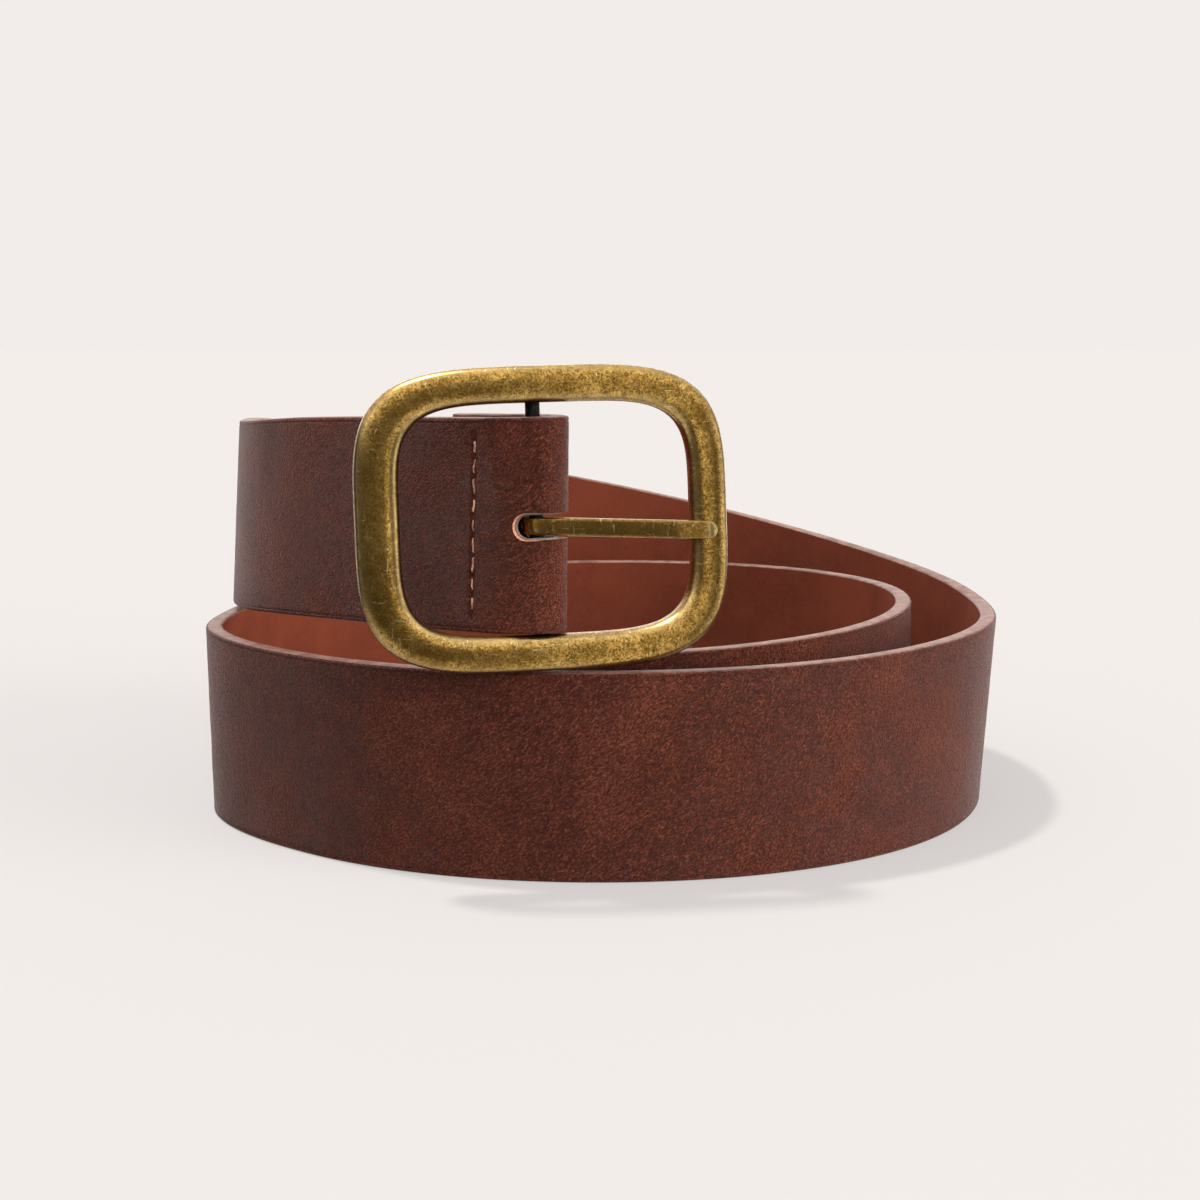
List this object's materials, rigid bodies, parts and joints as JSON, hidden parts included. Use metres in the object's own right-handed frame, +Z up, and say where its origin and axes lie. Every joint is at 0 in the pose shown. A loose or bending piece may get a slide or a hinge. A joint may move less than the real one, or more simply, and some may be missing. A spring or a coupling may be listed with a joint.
{
  "type": "leather belt",
  "caption": "Coiled leather belt with a squared-oval centre-bar buckle, a swinging prong, a stitched fold and punched prong holes.",
  "frame": {"origin": "middle of the coiled belt's footprint, on the surface it stands on", "axes": "+Z up along the strap's width and the centre bar, -Y towards the buckle's face, +X towards the prong's tip"},
  "size_m": [0.1716, 0.1771, 0.0968],
  "materials": {
    "grain_leather": "semi-matt pebbled grain, dark brown",
    "filler": "matt bonded board",
    "lining": "smooth, red-brown",
    "edge_coat": "satin edge paint",
    "thread": "waxed",
    "antique_brass": "aged, worn bright on the ridges",
    "dark_steel": "blackened"
  },
  "bodies": {
    "strap": {"face_leather": "grain_leather", "filler_core": "filler", "lining_leather": "lining", "needle_thread": "thread", "bobbin_thread": "thread"},
    "buckle": {"buckle_frame": "antique_brass", "centre_bar": "dark_steel"},
    "prong": {"prong": "antique_brass"}
  },
  "joints": [
    {"name": "buckle_swing", "type": "hinge", "parent": "strap", "child": "buckle", "pos_m": [-0.01408, -0.0788, 0.06825], "axis": [-0.0348, 0.0645, 0.9973], "range_deg": [-5, 36]},
    {"name": "prong_swing", "type": "hinge", "parent": "buckle", "child": "prong", "pos_m": [-0.01408, -0.0788, 0.06825], "axis": [0.0348, -0.0645, -0.9973], "range_deg": [0, 80]}
  ]
}
